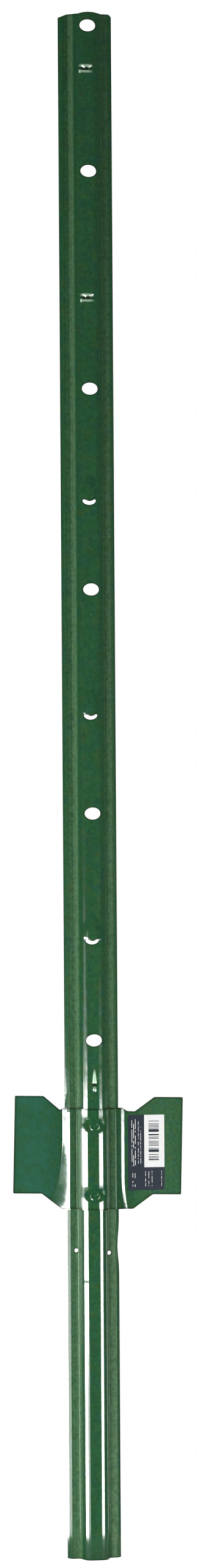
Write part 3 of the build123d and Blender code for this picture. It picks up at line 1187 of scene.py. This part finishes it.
def seen_strength(tree, lit, seen):
    """Strength that differs for camera and transmission rays, and the mask of the glossy rays."""
    path = tree.nodes.new("ShaderNodeLightPath").outputs
    direct = calc(tree, "MAXIMUM", path["Is Camera Ray"], path["Is Transmission Ray"])
    return span(tree, direct, 0.0, 1.0, lit, seen), path["Is Glossy Ray"]


def make_camera(settings):
    """Camera far to the left of the front, turned so that the post leans as in the picture."""
    data = bpy.data.cameras.new("Camera")
    data.sensor_width = 36.0
    data.lens = data.sensor_width * settings.distance / PICTURE_HEIGHT
    data.clip_end = 50
    camera = link("Camera", data)
    vertical = Vector((0, 0, 1))
    forward = Vector((math.sin(settings.azimuth), math.cos(settings.azimuth), 0))
    level = forward.cross(vertical)
    aim = Vector((0, cad_bounds[0][1] + 0.0016, 0.6112)) + level * 0.0045
    up = vertical * math.cos(settings.lean) + level * math.sin(settings.lean)
    right = level * math.cos(settings.lean) - vertical * math.sin(settings.lean)
    place = aim - forward * settings.distance
    turned = Matrix((right, up, -forward)).transposed().to_4x4()
    camera.matrix_world = Matrix.Translation(place) @ turned
    bpy.context.scene.camera = camera


def make_floor():
    """Pale floor that looks white and keeps the object's shadow."""
    bm = bmesh.new()
    bmesh.ops.create_circle(bm, cap_ends=True, segments=96, radius=0.14)
    floor = from_bmesh("Floor", bm)
    material, tree, shader = new_material("Floor")
    shader.inputs["Base Color"].default_value = (0.8, 0.8, 0.8, 1)
    shader.inputs["Roughness"].default_value = 0.9
    shader.inputs["Specular IOR Level"].default_value = 0
    shader.inputs["Emission Color"].default_value = (1, 1, 1, 1)
    strength, _ = seen_strength(tree, 0.0, 0.76)
    tree.links.new(strength, shader.inputs["Emission Strength"])
    floor.data.materials.append(material)


def make_world():
    """White to the camera, a soft light that is stronger behind, and dark to the gloss in front."""
    world = bpy.data.worlds.new("Studio")
    world.use_nodes = True
    bpy.context.scene.world = world
    tree = world.node_tree
    background = tree.nodes["Background"]
    background.inputs["Color"].default_value = (1, 1, 1, 1)
    rear = split(tree, tree.nodes.new("ShaderNodeTexCoord").outputs["Generated"])["Y"]
    strength, glossy = seen_strength(tree, span(tree, rear, 0.2, 0.9, 0.20, 0.75), 1.0)
    mirrored = span(tree, rear, 0.88, 1.0, 0.10, 1.0)
    mix = put(tree, "ShaderNodeMix", {0: glossy, 2: strength, 3: mirrored})
    tree.links.new(mix.outputs[0], background.inputs["Strength"])


class FENCEPOST_OT_studio(bpy.types.Operator):
    """Make the camera, the floor, the lamps and the world"""

    bl_idname = "fencepost.studio"
    bl_label = "Studio"

    def execute(self, context):
        make_camera(context.scene.fence_post_studio)
        make_floor()
        make_world()

        # Lamps that the gloss doesn't show
        area_lamp("Key left", (-0.95, -0.85, 0.25), 0.8, 0.8, 12.2, glossy=False)
        area_lamp("Fill right", (0.95, -0.75, 0.25), 0.8, 0.8, 7.0, glossy=False)

        # Azimuths in degrees, heights in metres, radiance
        soft_box("Box left", (49, 109), (-0.40, 0.275), 56)
        soft_box("Box left, front", (23, 49), (0.02, 0.275), 56)
        soft_box("Box left, front and low", (15, 49), (-0.40, 0.02), 9)
        soft_box("Box left, low", (12, 109), (-1.10, -0.40), 55)
        soft_box("Box left, upper", (50, 78), (0.275, 0.48), 2.5)
        soft_box("Box right", (-60, -24), (-0.40, 0.26), 34)

        context.scene.view_settings.view_transform = "Standard"
        return {"FINISHED"}


class FENCEPOST_PT_panel(bpy.types.Panel):
    """The steps that dress the fence post"""

    bl_idname = "FENCEPOST_PT_panel"
    bl_label = "Fence Post"
    bl_space_type = "VIEW_3D"
    bl_region_type = "UI"
    bl_category = "Fence Post"

    def draw(self, context):
        for step in STEPS:
            self.layout.operator(step.bl_idname)


STEPS = (
    FENCEPOST_OT_post,
    FENCEPOST_OT_plate,
    FENCEPOST_OT_rivets,
    FENCEPOST_OT_sticker,
    FENCEPOST_OT_studio,
)
GROUPS = {
    "fence_post_channel": FencePostChannel,
    "fence_post_plate": FencePostPlate,
    "fence_post_finish": FencePostFinish,
    "fence_post_studio": FencePostStudio,
}


def register():
    for group in GROUPS.values():
        bpy.utils.register_class(group)
    for name, group in GROUPS.items():
        setattr(bpy.types.Scene, name, bpy.props.PointerProperty(type=group))
    for step in (*STEPS, FENCEPOST_PT_panel):
        bpy.utils.register_class(step)


def unregister():
    for step in reversed((*STEPS, FENCEPOST_PT_panel)):
        bpy.utils.unregister_class(step)
    for name in GROUPS:
        delattr(bpy.types.Scene, name)
    for group in reversed(GROUPS.values()):
        bpy.utils.unregister_class(group)


def main():
    register()
    for step in STEPS:
        getattr(bpy.ops.fencepost, step.bl_idname.split(".")[1])()


if __name__ == "__main__":
    main()
